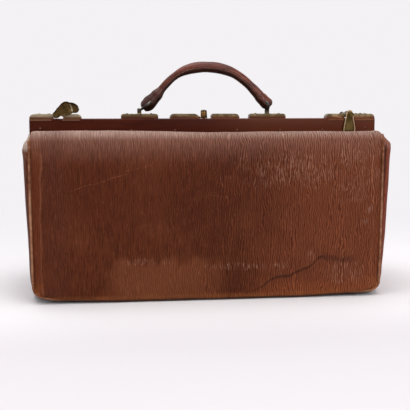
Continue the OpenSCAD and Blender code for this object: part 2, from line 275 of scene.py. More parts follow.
class Paint(Nodes):
    # a material; its color is built up in layers
    def __init__(self, name, roughness=0.5, metallic=0.0, sheen=0.0, specular=0.35):
        self.material = bpy.data.materials.new(name)
        self.material.use_nodes = True
        super().__init__(self.material.node_tree)
        self.shader = self.tree.nodes["Principled BSDF"]
        for socket, value in (("Roughness", roughness), ("Metallic", metallic),
                              ("Sheen Weight", sheen), ("Specular IOR Level", specular)):
            self.shader.inputs[socket].default_value = value
        self.coords = self.add("ShaderNodeTexCoord").outputs["Object"]
        self.xyz = tuple(self.add("ShaderNodeSeparateXYZ", self.coords).outputs)

    def noise(self, scale, stretch=(1, 1, 1), detail=3.0, rough=0.5, shift=(0, 0, 0), warp=0.0):
        mapped = self.named("ShaderNodeMapping",
                            {"Vector": self.coords, "Scale": stretch, "Location": shift})
        sockets = {"Vector": mapped.outputs[0], "Scale": scale, "Detail": detail,
                   "Roughness": rough, "Distortion": warp}
        return self.named("ShaderNodeTexNoise", sockets).outputs[0]

    def pattern(self, kind, scale, output, **props):
        return self.named(kind, {"Vector": self.coords, "Scale": scale}, **props).outputs[output]

    def attribute(self, name):
        return self.add("ShaderNodeAttribute", attribute_name=name).outputs["Fac"]

    def start(self, factor, a, b):
        self.color = self.blend(factor, a, b)

    def lay(self, factor, tone, how="MIX"):
        self.color = self.blend(factor, self.color, tone, how)

    def bump(self, *layers):
        normal = None
        for height, strength, distance in layers:
            sockets = {"Height": height, "Strength": strength, "Distance": distance,
                       "Normal": normal}
            normal = self.named("ShaderNodeBump", sockets).outputs[0]
        self.give(self.shader.inputs["Normal"], normal)

    def finish(self, roughness=None):
        self.give(self.shader.inputs["Base Color"], self.color)
        self.give(self.shader.inputs["Roughness"], roughness)
        return self.material


leatherLook = {
    "base": (100, 47, 21),
    "dark": (72, 30, 10),
    "warm": (116, 62, 34),
    "worn": (176, 128, 100),
    # painted sheen on the shoulder and on the crest
    "shoulderSheen": (142, 102, 88),
    "crestSheen": (172, 146, 134),
    # fine grain
    "ridgeStep": 0.0027,
    "ridge": (176, 158, 148),
    "stroke": (190, 176, 168),
    "fleck": (190, 146, 118),
    "clear": (255, 255, 255),
    # panels' edges
    "middle": -0.0053,
    "strip": (126, 62, 34),
    "dullBand": (82, 42, 29),
    "fold": (178, 118, 84),
    "lowWorn": (158, 94, 50),
    # gussets
    "ear": (200, 182, 170),
    "rightEnd": (150, 72, 52),
    # painted shadow in the crease beside the panels
    "seam": (46, 22, 13),
}

frontLook = {
    "right": (134, 73, 45),
    "lowRight": (148, 82, 46),
    "left": (78, 32, 11),
    "field": (122, 70, 42),
    # painted shade in the crease
    "shadedCrease": (40, 17, 10),
    # the crease's height over X, both as shares of their range
    "creaseLine": [(0.0, 0.03), (0.145, 0.268), (0.241, 0.437), (0.363, 0.496), (0.468, 0.6),
                   (0.574, 0.727), (0.622, 0.833), (0.67, 0.944), (0.732, 0.913), (0.83, 0.871),
                   (1.0, 0.9)],
    "creaseX": (0.045, 0.202),
    "creaseZ": (0.004, 0.0615),
    # pale scuffs low down; the patches high on the right are painted sheen
    "scuffAndSheen": (166, 126, 106),
    # X, height, half width, half height, strength
    "scuffAndSheenPatches": ((0.118, 0.18, 0.095, 0.026, 0.42), (0.205, 0.2, 0.035, 0.014, 0.4),
               (0.03, 0.048, 0.045, 0.006, 0.42), (0.09, 0.047, 0.028, 0.0065, 0.4),
               (0.137, 0.062, 0.008, 0.008, 0.3), (0.185, 0.036, 0.035, 0.018, 0.3),
               (-0.085, 0.056, 0.05, 0.006, 0.22), (0.2, 0.17, 0.05, 0.05, 0.22)),
    "blotch": (156, 122, 108),
    "blotches": ((0.2200, 0.1252), (0.2132, 0.1097)),
    "scratch": (176, 112, 74),
    # X, height, half length, slope, strength
    "scratches": ((-0.155, 0.168, 0.04, 0.30, 0.3), (-0.105, 0.186, 0.02, 0.2, 0.3),
                  (0.006, 0.146, 0.014, -0.12, 0.22), (0.012, 0.158, 0.006, -3.2, 0.3),
                  (0.152, 0.162, 0.028, -0.12, 0.3)),
}


def frontTones(p):
    # darker middle, redder and lighter right-hand part
    x, _, z = p.xyz
    p.lay(p.ramp(x, 0.02, 0.16, 0, 0.6), frontLook["right"])
    p.lay(p.times(p.ramp(z, 0.036, 0.01), p.ramp(x, 0.02, 0.12, 0, 0.5)), frontLook["lowRight"])
    dark = p.times(p.ramp(x, 0.06, -0.12), p.ramp(z, 0.06, 0.14), p.ramp(z, 0.205, 0.17))
    p.lay(p.times(dark, 0.4), frontLook["left"])


def panelEdges(p, rub):
    look = leatherLook
    x, _, z = p.xyz
    centre = p.apart(x, look["middle"])
    uneven = p.noise(24, (1, 1, 0.6), detail=4, rough=0.6, shift=(5, 5, 2))
    waved = p.plus(centre, p.ramp(uneven, 0.2, 0.8, -0.0045, 0.0045, soft=False))
    # reddish strip beside each edge, a dull band inside it on the left, and a light ridge
    strip = p.times(p.ramp(waved, 0.2265, 0.2315), p.ramp(z, 0.222, 0.205))
    p.lay(p.times(strip, 0.26), look["strip"])
    dull = p.times(p.ramp(x, -0.19, -0.215), p.ramp(waved, 0.2305, 0.2265))
    p.lay(p.times(dull, p.ramp(uneven, 0.35, 0.6, 0.3, 1), 0.4), look["dullBand"])
    fold = p.times(p.ramp(p.apart(waved, 0.2293), 0.0022, 0.0), p.ramp(z, 0.215, 0.19))
    p.lay(p.times(fold, p.ramp(uneven, 0.3, 0.65, 0.2, 1), 0.3), look["fold"])
    # rubbed sides, bottom and corners
    sides = p.ramp(centre, 0.2402, 0.2430, 0, 0.8)
    bottom = p.ramp(z, 0.013, 0.005, 0, 0.75)
    corner = p.times(p.ramp(centre, 0.222, 0.2415), p.ramp(z, 0.04, 0.009))
    edge = p.times(p.chain("MAXIMUM", sides, bottom, corner), p.ramp(rub, 0.3, 0.62, 0.35, 1.0))
    p.lay(p.times(edge, 0.8), p.blend(p.ramp(z, 0.03, 0.12), look["lowWorn"], look["worn"]))


def gussetEdges(p, rub):
    look = leatherLook
    x, y, z = p.xyz
    away = p.maths("ABSOLUTE", y)
    # the folded ears are rubbed pale, most on the left
    bare = p.times(p.ramp(z, 0.206, 0.215), p.ramp(away, 0.06, 0.09), p.ramp(x, 0.05, -0.05, 0.25, 0.9))
    p.lay(p.times(bare, p.ramp(rub, 0.3, 0.5, 0.4, 1)), look["ear"])
    p.lay(p.ramp(x, 0.05, 0.2, 0, 0.5), look["rightEnd"])
    # painted shadow in the crease beside the panels
    inner = p.plus(away, p.ramp(x, 0.05, -0.05, 0, -0.0016))
    p.lay(p.times(p.ramp(inner, 0.1066, 0.1090, 0, 0.85), p.ramp(z, 0.2275, 0.222)), look["seam"])


def dullField(p):
    # dull brown field low on the left, with a ragged top
    x, _, z = p.xyz
    ragged = p.ramp(p.noise(70, (1, 0.2, 0.2), detail=3, shift=(6, 2, 8)), 0.3, 0.7, -0.008, 0.008)
    low = p.times(p.ramp(p.plus(z, ragged), 0.062, 0.05), p.ramp(x, -0.16, -0.12))
    p.lay(p.times(low, p.ramp(x, 0.03, -0.03), 0.55), frontLook["field"])


def longCrease(p):
    # painted shade along a long crease low on the right, which fades out in a wider dark patch
    look = frontLook
    x, _, z = p.xyz
    path = p.named("ShaderNodeFloatCurve", {"Value": p.ramp(x, *look["creaseX"], soft=False)})
    curve = path.mapping.curves[0]
    while len(curve.points) < len(look["creaseLine"]):
        curve.points.new(0.5, 0.5)
    for point, spot in zip(curve.points, look["creaseLine"]):
        point.location = spot
    path.mapping.update()
    wobble = p.ramp(p.noise(90, detail=3), 0, 1, -0.003, 0.003, soft=False)
    height = p.plus(p.ramp(path.outputs[0], 0, 1, *look["creaseZ"], soft=False), wobble)
    off = p.apart(z, height)
    inside = p.times(p.ramp(x, 0.042, 0.075), p.ramp(x, 0.16, 0.15))
    shadedCrease = p.times(p.ramp(off, 0.0032, 0.0004), inside)
    fadingEnd = p.times(p.ramp(off, 0.008, 0.001), p.ramp(x, 0.146, 0.16), p.ramp(x, 0.208, 0.19))
    p.lay(p.times(fadingEnd, 0.4), look["shadedCrease"])
    p.lay(p.times(shadedCrease, 0.6), look["shadedCrease"])
    return shadedCrease


def paleScuffsAndSheen(p, strokes, ridges):
    # ragged pale patches, broken up by the grain: worn scuffs low down, painted sheen on the creases high
    # on the right
    x, _, z = p.xyz
    ragged = p.ramp(p.noise(42, detail=4, rough=0.7, shift=(3, 3, 5)), 0.2, 0.8, -0.9, 0.9)
    patches = []
    for cx, cz, wide, high, power in frontLook["scuffAndSheenPatches"]:
        dx = p.maths("DIVIDE", p.maths("SUBTRACT", x, cx), wide)
        dz = p.maths("DIVIDE", p.maths("SUBTRACT", z, cz), high)
        patches.append(p.ramp(p.plus(p.squares(dx, dz), ragged), 1.1, 0.0, 0, power))
    broken = p.times(p.ramp(strokes, 0.42, 0.6), p.ramp(ridges, 0.2, 0.9, 0.4, 1))
    p.lay(p.times(p.chain("MAXIMUM", *patches), broken), frontLook["scuffAndSheen"])


def greyBlotches(p):
    x, _, z = p.xyz
    haze = p.ramp(p.noise(120, detail=4, rough=0.7, shift=(8, 3, 1)), 0.4, 0.62)
    for cx, cz in frontLook["blotches"]:
        far = p.maths("SQRT", p.squares(p.maths("SUBTRACT", x, cx), p.maths("SUBTRACT", z, cz)))
        p.lay(p.times(p.ramp(far, 0.009, 0.001, 0, 0.5), haze), frontLook["blotch"])


def thinScratches(p, strokes, wander):
    # short straight lines over the grain
    x, _, z = p.xyz
    for cx, cz, half, slope, power in frontLook["scratches"]:
        dx = p.maths("SUBTRACT", x, cx)
        line = p.plus(p.times(dx, slope), cz, p.ramp(wander, 0, 1, -0.003, 0.003, soft=False))
        near = p.ramp(p.apart(z, line), 0.0011 * math.hypot(1, slope), 0)
        ends = p.ramp(p.maths("ABSOLUTE", dx), half, half * 0.7)
        p.lay(p.times(near, ends, p.ramp(strokes, 0.42, 0.62), power), frontLook["scratch"])


def longGrainLeather(name, panel=False, front=False):
    # creased leather whose grain runs along Z on the walls and along Y on the shoulders
    look = leatherLook
    p = Paint(name, roughness=0.5, specular=0.1)
    x, y, z = p.xyz

    def along(v):
        return (1, v, v) if panel else (v, 1, v)
    grain = p.noise(520, along(0.12), detail=4, rough=0.6, warp=0.5)
    strokes = p.noise(620, along(0.2), detail=2, rough=0.45, shift=(3, 5, 1), warp=0.8)
    # crimped ridges: fine waves across the grain whose spacing wanders
    wander = p.noise(38, (1, 0.5, 0.5), detail=3, rough=0.6, shift=(9, 4, 2))
    nudge = p.noise(210, along(0.3), detail=1, shift=(2, 8, 5))
    phase = p.plus(p.times(x if panel else y, 2 * math.pi / look["ridgeStep"]),
                   p.times(wander, 40), p.times(nudge, 8))
    ridges = p.ramp(p.maths("SINE", phase), -1, 1)
    wide = p.noise(9, detail=3, rough=0.6, shift=(2, 0, 4))
    broad = p.noise(3.2, (1, 1, 1.2), detail=2, shift=(7, 1, 3))
    p.start(p.ramp(grain, 0.25, 0.75), look["dark"], look["base"])
    p.lay(p.ramp(wide, 0.42, 0.68, 0, 0.55), look["warm"])
    p.lay(p.ramp(broad, 0.45, 0.7, 0, 0.45), look["dark"])
    if front:
        frontTones(p)
    # painted sheen, palest at the crest, that fades down from the shoulder
    streak = p.ramp(grain, 0.25, 0.75, 0.55, 1.0)
    p.lay(p.times(p.ramp(z, 0.185, 0.234, 0, 0.74), streak), look["shoulderSheen"])
    p.lay(p.times(p.ramp(z, 0.2215, 0.2345, 0, 0.8), streak), look["crestSheen"])
    rub = p.noise(46, detail=4, rough=0.65, shift=(1, 9, 2))
    (panelEdges if panel else gussetEdges)(p, rub)
    dents = []
    if front:
        dullField(p)
        dents = [(longCrease(p), -0.8, 0.0016)]
        paleScuffsAndSheen(p, strokes, ridges)
        greyBlotches(p)
        thinScratches(p, strokes, wander)
    # fine crimped streaks over everything, stronger on the right
    fineStreaks = p.ramp(strokes, 0.32, 0.68)
    power = p.ramp(x, -0.12, 0.1, 0.42, 0.95) if panel else 0.55
    p.lay(0.3, p.blend(fineStreaks, look["stroke"], look["clear"]), "MULTIPLY")
    p.lay(power, p.blend(ridges, look["ridge"], look["clear"]), "MULTIPLY")
    p.lay(p.ramp(strokes, 0.6, 0.78, 0, 0.06), look["fleck"])
    p.bump((grain, 0.4, 0.0009), (ridges, 0.35, 0.0004), (wide, 0.4, 0.002), *dents)
    return p.finish(p.ramp(grain, 0.3, 0.7, 0.62, 0.44))


def smoothLeather(name, base, dark, light, roughness, specular, paintedLitSide=None, under=None,
                  foot=None):
    p = Paint(name, roughness=roughness, specular=specular)
    x, _, z = p.xyz
    streaks = p.noise(120, (0.12, 1, 1), detail=4, rough=0.6)
    clouds = p.noise(14, (0.5, 1, 1), detail=3)
    pores = p.pattern("ShaderNodeTexVoronoi", 1400, "Distance")
    p.start(p.ramp(streaks, 0.35, 0.7), dark, base)
    p.lay(p.ramp(clouds, 0.5, 0.75, 0, 0.5), light)
    # painted light: lighter towards the right, where the light falls
    if paintedLitSide:
        p.lay(p.ramp(x, -0.02, 0.09, 0, 0.8), paintedLitSide)
    if foot:       # painted shadow where it meets the floor
        p.lay(p.ramp(z, 0.0065, 0.0040, 0, 0.9), foot)
    if under:      # shaded underside, and the left flank in two steps
        p.lay(p.ramp(x, -0.03, -0.075, 0, 0.85), dark)
        p.lay(p.ramp(x, -0.064, -0.084, 0, 0.85), (48, 17, 10))
        p.lay(p.times(p.attribute("low"), 0.85), under)
    p.bump((pores, 0.1, 0.0002), (streaks, 0.12, 0.0004))
    return p.finish(p.ramp(clouds, 0.3, 0.7, roughness - 0.06, roughness + 0.1))


def agedBrass(name, base, dark, bright, foot=None, lug=None, lugFrom=0.2578, rim=None,
              shine=0.34):
    p = Paint(name, roughness=0.4, metallic=0.85)
    x, _, z = p.xyz
    clouds = p.noise(90, detail=5, rough=0.65)
    spots = p.noise(420, detail=3, rough=0.7, shift=(4, 2, 7))
    fine = p.noise(900, (1, 0.3, 1), detail=2)
    p.start(p.ramp(clouds, 0.38, 0.62), dark, base)
    p.lay(p.ramp(spots, 0.56, 0.74, 0, 0.8), bright)
    if foot:      # paler on the left; the lower half mirrors the rail's brown leather
        p.lay(p.ramp(x, -0.13, -0.2, 0, 0.55), (196, 182, 156))
        p.lay(p.ramp(z, 0.2545, 0.2520, 0, 0.85), foot)
    if rim:       # painted highlight along the edge
        p.lay(p.times(p.ramp(p.attribute("rim"), 0.2, 0.9), 0.8), rim)
    if lug:       # parts that stand above the plates are darker
        p.lay(p.ramp(z, lugFrom, lugFrom + 0.0012, 0, 0.85), lug)
    p.bump((spots, 0.25, 0.0003), (fine, 0.15, 0.0001))
    return p.finish(p.ramp(clouds, 0.35, 0.65, shine + 0.2, shine))


def rustedSteel(name):
    p = Paint(name, roughness=0.45, metallic=0.8)
    clouds = p.noise(70, detail=4, rough=0.6)
    rust = p.noise(260, detail=4, rough=0.7, shift=(5, 1, 2))
    p.start(p.ramp(clouds, 0.4, 0.65), (62, 56, 54), (92, 86, 82))
    p.lay(p.ramp(rust, 0.55, 0.72, 0, 0.7), (84, 52, 36))
    p.bump((rust, 0.3, 0.0003))
    return p.finish(p.ramp(rust, 0.4, 0.7, 0.38, 0.7))


def wovenCloth(name, threads=520):
    p = Paint(name, roughness=0.85, sheen=0.25)
    warp, weft = (p.pattern("ShaderNodeTexWave", threads, "Fac", bands_direction=way) for way in "XZ")
    both = p.times(warp, weft)
    stains = p.noise(16, detail=4, rough=0.6)
    p.start(p.ramp(stains, 0.4, 0.7), (176, 154, 120), (142, 118, 86))
    p.lay(p.ramp(both, 0.1, 0.7, 0.35, 0), (96, 76, 54))
    p.bump((both, 0.4, 0.0003), (stains, 0.3, 0.002))
    return p.finish()


def plainBoard(name):
    p = Paint(name, roughness=0.8)
    fibre = p.noise(300, (1, 0.2, 1), detail=4, rough=0.7)
    p.start(p.ramp(fibre, 0.35, 0.7), (116, 92, 62), (146, 120, 84))
    p.bump((fibre, 0.3, 0.0003))
    return p.finish()


def twistedThread(name):
    p = Paint(name, roughness=0.7)
    twist = p.noise(1500, detail=2)
    p.start(p.ramp(twist, 0.35, 0.65), (124, 78, 64), (160, 112, 94))
    p.bump((twist, 0.5, 0.0002))
    return p.finish()


frontLeather = longGrainLeather("frontLeather", panel=True, front=True)
rearLeather = longGrainLeather("rearLeather", panel=True)
gussetLeather = longGrainLeather("gussetLeather")
# the rail's right-hand part is painted lighter, as if lit from that side
railLeather = smoothLeather("railLeather", (70, 23, 7), (57, 16, 4), (82, 31, 13), 0.36, 0.1,
                            paintedLitSide=(90, 42, 21))
gripLeather = smoothLeather("gripLeather", (112, 58, 43), (72, 31, 20), (144, 90, 76), 0.38, 0.3,
                            under=(28, 11, 6))
# the welt's foot colour is painted shadow under it
weltLeather = smoothLeather("weltLeather", (154, 106, 76), (98, 52, 28), (184, 140, 110), 0.5, 0.15,
                            foot=(44, 22, 12))
baseLeather = smoothLeather("baseLeather", (58, 30, 19), (38, 19, 12), (92, 54, 35), 0.6, 0.1)
plateBrass = agedBrass("plateBrass", (122, 104, 78), (86, 72, 50), (154, 136, 106),
                       foot=(112, 64, 42), lug=(46, 36, 27))
# their rim colours are painted highlights
leafBrass = agedBrass("leafBrass", (104, 86, 48), (76, 60, 28), (134, 114, 74), rim=(240, 214, 176),
                      shine=0.3)
turnedLeafBrass = agedBrass("turnedLeafBrass", (84, 64, 32), (56, 42, 18), (110, 92, 58),
                            rim=(196, 184, 150))
knobBrass = agedBrass("knobBrass", (160, 120, 70), (104, 76, 44), (206, 170, 116), lug=(70, 60, 46),
                      lugFrom=0.2592, shine=0.18)
tackBronze = agedBrass("tackBronze", (112, 74, 60), (84, 50, 38), (140, 100, 84))
darkSteel = rustedSteel("darkSteel")
liningCloth = wovenCloth("liningCloth")
boardPaint = plainBoard("boardPaint")
handleThread = twistedThread("handleThread")
print("materials ready")


# front and rear leather: panel, crest and soft shoulder in one sheet

def racked(point, shift=5.3 * mm):
    # the front of the body stands a little to the left of the frame, as on the worn bag
    point.x -= shift * smooth(-point.y, 0.02, 0.1)
    return point


cornerShape = {"rear": (2.4, 1.6), "front": (4.6, 2.0), "frontWide": 3.4}      # left and right, mm


def cornerLift(x, side):
    # worn bottom corners stand a little off the floor, most at the front left
    look = cornerShape
    if side > 0:
        return mix(*look["rear"], x > 0) * mm * smooth(abs(x), 0.15, 0.236)
    return mm * (look["frontWide"] * smooth(abs(x), 0.11, 0.215)
                 + mix(*look["front"], x > 0) * smooth(abs(x), 0.205, 0.24))


sheetShape = {
    "grid": (190, 96),
    "halfWidth": 243.4 * mm,
    "cornerRadius": 13.5 * mm,
    "taper": 1.8 * mm,
    "edgeRoll": 15 * mm,
    "edgeDrop": 6.5 * mm,
    "bulge": 1.6 * mm,
    "thickness": 2.0 * mm,
    "shoulderReach": (4.5, -2.2),      # past the panel's edge at the rail and at the crest, mm
    # side view of the leather, outwards and up, from under the bottom edge to the rail
    "profile": [(108.5, 2.2), (111.5, 2.4), (113.6, 4.2), (114.8, 9), (115.4, 30), (115.9, 80),
                (116.0, 130), (115.6, 180), (115.0, 205), (114.0, 217), (111.6, 226),
                (107.0, 232.4), (100.5, 235.6), (92, 235.8), (75, 234.4), (58, 231.6),
                (44, 227.6), (34, 222.4), (28.5, 219.2), (25.6, 219.4), (24.2, 222.6),
                (23.8, 226), (23.6, 230)],
    "waves": (1.3 * mm, 0.45 * mm),
    "ridge": (0.7 * mm, 0.2295, 0.0022),             # line inside each side edge: height, X, width
    "pucker": 0.5 * mm,                              # where the shoulder is nailed to the rail
    "dips": (1.5 * mm, 1.1 * mm, 1.4 * mm),          # crest's middle, right half and right end
    "leafSags": ((1.8 * mm, 0.2145, 0.017), (4.2 * mm, -0.2280, 0.019)),   # both sides, left side
    "rightCrest": 1.3 * mm,
}


def sheetPlace(side, seed):
    look = sheetShape
    profile = look["profile"]
    wide, fine = look["waves"]
    middleDip, rightDip, endDip = look["dips"]
    ridgeHigh, ridgeAt, ridgeWidth = look["ridge"]

    def edgeAt(d, z):
        edge = look["halfWidth"]
        low = z - 3 * mm
        r = look["cornerRadius"]
        if low < r:
            edge -= r - math.sqrt(max(r * r - (r - max(low, 0)) ** 2, 0))
        edge -= look["taper"] * smooth(z, 0.09, 0.01)
        # small rounding at the panel's top corners, then in to the rail
        top = smooth(z, 0.2225, 0.2362) if d > 0.1 else 1
        return edge + mix(*look["shoulderReach"], smooth(d, 0.03, 0.09)) * mm * top

    def place(u, w):
        d, z = (v * mm for v in alongPoints(profile, w))
        d1, z1 = (v * mm for v in alongPoints(profile, w + 0.004))
        d0, z0 = (v * mm for v in alongPoints(profile, w - 0.004))
        out = Vector((z1 - z0, -(d1 - d0))).normalized()      # outward in (d, z)
        s = 2 * u - 1
        s = math.copysign(1 - (1 - abs(s)) ** 1.15, s)
        edge = edgeAt(d, z)
        x = s * edge
        upright = smooth(z, 0.234, 0.2)
        span = look["edgeRoll"] * mix(0.45, 1, upright)
        roll = clamp((abs(x) - (edge - span)) / span) ** 2.4
        push = -look["edgeDrop"] * roll * mix(0.3, 1, upright)
        wall = smooth(d, 0.1, 0.112)
        push += look["bulge"] * wall * math.sin(math.pi * u) * math.sin(math.pi * clamp(z / 0.235))
        push += noise.noise((x * 7 + seed, z * 9, d * 9)) * wide * (1 - roll)
        push += noise.noise((x * 34 + seed, z * 12, d * 12)) * fine * (1 - roll)
        crest = smooth(d, 0.03, 0.06) * smooth(z, 0.19, 0.232)
        dip = middleDip * math.exp(-((x - 0.035) / 0.13) ** 4)
        dip = (dip + rightDip * smooth(x, -0.06, 0) + endDip * smooth(x, 0.14, 0.21)) * crest
        pucker = math.sin(x * 120 + seed) * look["pucker"] * smooth(d, 0.09, 0.035)
        ridgeOff = abs(x) - ridgeAt - 0.002 * noise.noise((z * 14, seed, 0))
        push += ridgeHigh * hump(ridgeOff, ridgeWidth) * wall
        push *= mix(1, mix(0.25, 1, smooth(z, 0.004, 0.022)), roll)
        lift = cornerLift(x, side) * smooth(z, 0.06, 0.006)
        sag = 0
        if side < 0:
            (deep, at, reach), (leftDeep, leftAt, leftReach) = look["leafSags"]
            sag = max(deep * hump(abs(x) - at, reach), leftDeep * hump(x - leftAt, leftReach))
            dip -= look["rightCrest"] * smooth(x, 0.229, 0.241) * smooth(z, 0.2, 0.232)
            x += look["rightCrest"] * smooth(x, 0.215, 0.24) * smooth(z, 0.19, 0.232)
        dip += sag * smooth(d, 0.0235, 0.0285) * smooth(d, 0.062, 0.045)
        spot = Vector((x, side * (d + out.x * push), z + out.y * push - dip + pucker * 0.6 + lift))
        return racked(spot)
    return place


def leatherSheet(name, side, seed, material, nodes):
    bm = gridSheet(*sheetShape["grid"], sheetPlace(side, seed))
    thicken(bm, sheetShape["thickness"], (0, side, 0.3))
    piece = newPiece(name, bm, material, None, nodes)
    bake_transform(piece)


leatherSheet("front_leather", -1, 3.1, frontLeather, ["front_panel", "front_shoulder"])
leatherSheet("rear_leather", 1, 8.7, rearLeather, ["rear_panel", "rear_shoulder"])
print("leather sheets ready")


# end gussets, in front and rear halves

gussetShape = {
    "grid": (72, 126),
    "thickness": 2.2 * mm,
    "frontIn": 3.2 * mm,
    "earRise": 1.6 * mm,
    # outline of the folded ears, reach by height
    "ears": {-1: [(0.2090, 0.2573), (0.2155, 0.2560), (0.2182, 0.2550), (0.2210, 0.2535),
                  (0.2237, 0.2512), (0.2265, 0.2496), (0.2300, 0.2480)],
             1: [(0.2090, 0.2573), (0.2155, 0.2570), (0.2182, 0.2556), (0.2210, 0.2524),
                 (0.2237, 0.2497), (0.2265, 0.2470), (0.2300, 0.2462)]},
    # outward reach by height
    "reach": [(0.0015, 0.2445), (0.0022, 0.2475), (0.0045, 0.2503), (0.012, 0.2523), (0.06, 0.2542),
              (0.11, 0.2562), (0.16, 0.2582), (0.195, 0.2594), (0.209, 0.2605), (0.2165, 0.2588),
              (0.2225, 0.2562), (0.228, 0.2545)],
    # plan view from the middle seam forward: inward offset, distance from the middle
    "plan": [(0.0, 0.0), (0.0, 0.012), (0.0, 0.03), (0.0, 0.055), (0.0, 0.078), (0.0002, 0.092),
             (0.0012, 0.1), (0.0036, 0.105), (0.0066, 0.1078), (0.0098, 0.1092), (0.0140, 0.1100),
             (0.0200, 0.1104)],
    "foldsAt": 0.92,                 # share of the height where the top turns in
    "tuck": 24 * mm,
    "sink": (1.6, 5.6, 3.0),         # everywhere, then more at the front or rear edge, mm
    "nearReach": 0.2552,             # beside the rail's end
    "earTop": 0.2465,
    "marginWider": 1.45,             # right end only
    "rightOut": 0.9 * mm,
    "lowIn": (4, 1),                 # front and rear, mm
    "wornIn": (3.0, 1.5),            # left and right, mm
    "fold": 0.0014,
    "waves": (0.0011, 0.0004),
}


def earAt(end, z):
    ears = gussetShape["ears"][end]
    return next((mix(a[1], b[1], clamp((z - a[0]) / (b[0] - a[0])))
                 for a, b in zip(ears, ears[1:]) if z < b[0]), gussetShape["earTop"])


def gussetPlace(end, side, seed):
    look = gussetShape
    sinkAll, sinkFront, sinkRear = look["sink"]
    wide, fine = look["waves"]

    def place(u, w):
        inset, d = alongPoints(look["plan"], u)
        deep = smooth(inset, 0.004, 0.012)                           # the margin behind the panel
        under = clamp((w - look["foldsAt"]) / (1 - look["foldsAt"]))
        w = 1 - (1 - min(w / look["foldsAt"], 1)) ** 1.12
        z, reach = alongPoints(look["reach"], w)
        reach -= look["frontIn"] * smooth(d, 0.035, 0.095)
        near = smooth(d, 0.045, 0.024)
        inset *= mix(look["marginWider"], 1.0, end < 0)
        x = reach - inset
        z += smooth(w, 0.86, 1.0) * look["earRise"] * (1 - near)
        if z > 0.209:
            x = mix(x, mix(earAt(end, z) - inset, look["nearReach"], near), smooth(z, 0.209, 0.2145))
        x -= look["tuck"] * under * (1 - near) * smooth(d, 0.03, 0.06)
        sink = smooth(under, 0, 0.3)
        edgeSink = mix(sinkFront, sinkRear, side > 0) * smooth(d, 0.074, 0.104)
        z -= sink * (sinkAll + edgeSink) * mm * (1 - near)
        if end > 0:
            x += look["rightOut"] * (1 - deep) * smooth(z, 0.02, 0.1) * (1 - near)
        x -= mix(*look["lowIn"], side > 0) * mm * smooth(z, 0.03, 0.0) * smooth(d, 0.07, 0.109)
        x -= look["fold"] * hump(d - 0.052, 0.012) * smooth(z, 0.05, 0.2)
        if side < 0:       # worn round at the front bottom corners
            worn = smooth(d, 0.06, 0.108) * smooth(z, 0.05, 0.002)
            x -= mix(*look["wornIn"], end > 0) * mm * worn * smooth(z, 0.016, 0.001)
            z += cornerLift(end * 0.24, side) * 0.85 * worn
        x += noise.noise((d * 16 + seed, z * 16, end)) * wide * smooth(z, 0.004, 0.03)
        x += noise.noise((d * 60, z * 40 + seed, end)) * fine * (1 - near)
        d -= 0.010 * sink * smooth(d, 0.080, 0.106) + 0.008 * deep * smooth(z, 0.209, 0.227) * (1 - sink)
        return racked(Vector((end * x, side * d, z)), 3 * mm)
    return place


for endName, end in (("left", -1), ("right", 1)):
    for sideName, side, joint in (("front", -1, "front_frame"), ("rear", 1, "rear_frame")):
        bm = gridSheet(*gussetShape["grid"], gussetPlace(end, side, 2.3 * end + 5.1 * side))
        thicken(bm, gussetShape["thickness"], (end, 0, 0))
        nodes = [f"{endName}_{sideName}_fold"] + ([f"{endName}_gusset"] if side < 0 else [])
        half = newPiece(f"{endName}_gusset_{sideName}_half", bm, gussetLeather, None,
                        nodes)
        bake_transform(half)
print("gussets ready")


# welts along the panels' sides and bottom

weltShape = {"radius": 1.6 * mm, "halfWidth": 243.9 * mm, "corner": 13.5 * mm, "top": 223.5 * mm,
             "floor": 2.4 * mm, "depth": 111.4 * mm, "taper": 1.4 * mm, "twist": 0.08,
             "rearIn": 1.2 * mm, "rearForward": 1.0 * mm, "rearLower": 2.5 * mm}


def weltPath(side):
    look = weltShape
    w, r, z0, top = look["halfWidth"], look["corner"], look["floor"], look["top"]
    y = side * look["depth"]
    if side > 0:
        w, y, top = w - look["rearIn"], y - look["rearForward"], top - look["rearLower"]
    half = [(w - look["taper"] * (i / 26) ** 3, y, mix(top, z0 + r, i / 26)) for i in range(27)]
    w -= look["taper"]
    half += [(w - r + r * math.cos(a), y, z0 + r - r * math.sin(a))
             for a in (math.radians(9 * k) for k in range(1, 11))]
    half += [(w - r - (w - r) * k / 30, y, z0) for k in range(1, 31)]
    whole = half + [(-x, yy, z) for x, yy, z in reversed(half[:-1])]
    whole = [(x, yy, z + cornerLift(x, side) * smooth(z, 0.06, 0.006)) for x, yy, z in whole]
    return [tuple(racked(Vector(spot))) for spot in whole]


for sideName, side in (("front", -1), ("rear", 1)):
    path = [(x + 0.0004 * noise.noise((x * 30, z * 30, side)), y, z) for x, y, z in weltPath(side)]
    bm = rod(path, lambda t: weltShape["radius"] * (1 + weltShape["twist"] * math.sin(t * 900)), sides=12)
    newPiece(f"{sideName}_edge_welt", bm, weltLeather, "bag_body",
             [f"{sideName}_welt"])
print("welts ready")


# base and lining

baseShape = {"edge": 1.2 * mm, "boardEdge": 0.6 * mm, "narrower": 0.955, "endsUp": 4 * mm,
             "cuts": (-230, -222, -214, 214, 222, 230)}


def narrowed(node, width):
    # a little shorter, with its ends turned up, to stay inside the rounded corners
    bm = cadCopy(node, width)
    cutAcross(bm, baseShape["cuts"])
    for v in bm.verts:
        v.co.z += baseShape["endsUp"] * smooth(abs(v.co.x), 0.205, 0.24) ** 1.5
        v.co.z += cornerLift(v.co.x, -1) * 0.7 * smooth(-v.co.y, 0.05, 0.1)
        v.co.x *= baseShape["narrower"]
        v.co = racked(v.co)
    return bm


newPiece("base_leather", narrowed("base_panel", baseShape["edge"]), baseLeather, "bag_body",
         ["base_panel"])
newPiece("stiff_board", narrowed("base_board", baseShape["boardEdge"]), boardPaint, "bag_body",
         ["base_board"])

liningShape = {"halfX": 238.6 * mm, "halfY": 107.2 * mm, "floor": 6.6 * mm, "sides": 156 * mm,
               "sheets": 221 * mm, "thickness": 0.8 * mm, "rows": 26, "sag": 1.6 * mm}


